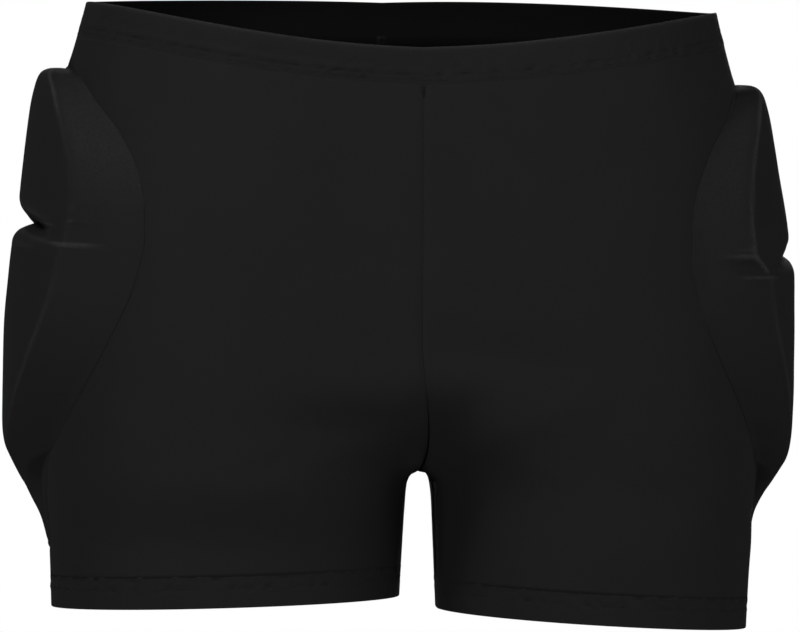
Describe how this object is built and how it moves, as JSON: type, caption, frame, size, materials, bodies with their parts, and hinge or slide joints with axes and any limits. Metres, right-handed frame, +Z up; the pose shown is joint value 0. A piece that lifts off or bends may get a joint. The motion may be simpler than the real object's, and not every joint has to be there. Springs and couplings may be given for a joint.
{
  "type": "padded hip protection shorts",
  "caption": "Plain black stretch shorts with foam pads in sewn pockets over both hips, in their worn shape, with an elastic waistband, seamed panels and folded hems.",
  "frame": {"origin": "the middle of the waist opening, about level with the waistband's top edge at the sides", "axes": "+X to the wearer's left, across the hips; +Y to the back; +Z up"},
  "size_m": [0.412, 0.23, 0.3288],
  "materials": {
    "panel_knit": "smooth matte stretch jersey, black, with fine vertical ribs",
    "pocket_knit": "smooth matte stretch jersey, black, pulled tight over the pads",
    "band_knit": "the same black jersey folded over and stitched in two rows",
    "pad_foam": "closed-cell foam, dark grey, matte; guessed, hidden in the pockets"
  },
  "bodies": {
    "root": {"waistband": "band_knit", "leg_hem_right": "band_knit", "leg_hem_left": "band_knit", "front_panel_right": "panel_knit", "front_panel_left": "panel_knit", "back_panel_right": "panel_knit", "back_panel_left": "panel_knit", "pad_pocket_right": "pocket_knit", "pad_pocket_left": "pocket_knit", "upper_pad_right": "pad_foam", "upper_pad_left": "pad_foam", "lower_pad_right": "pad_foam", "lower_pad_left": "pad_foam"}
  },
  "joints": []
}
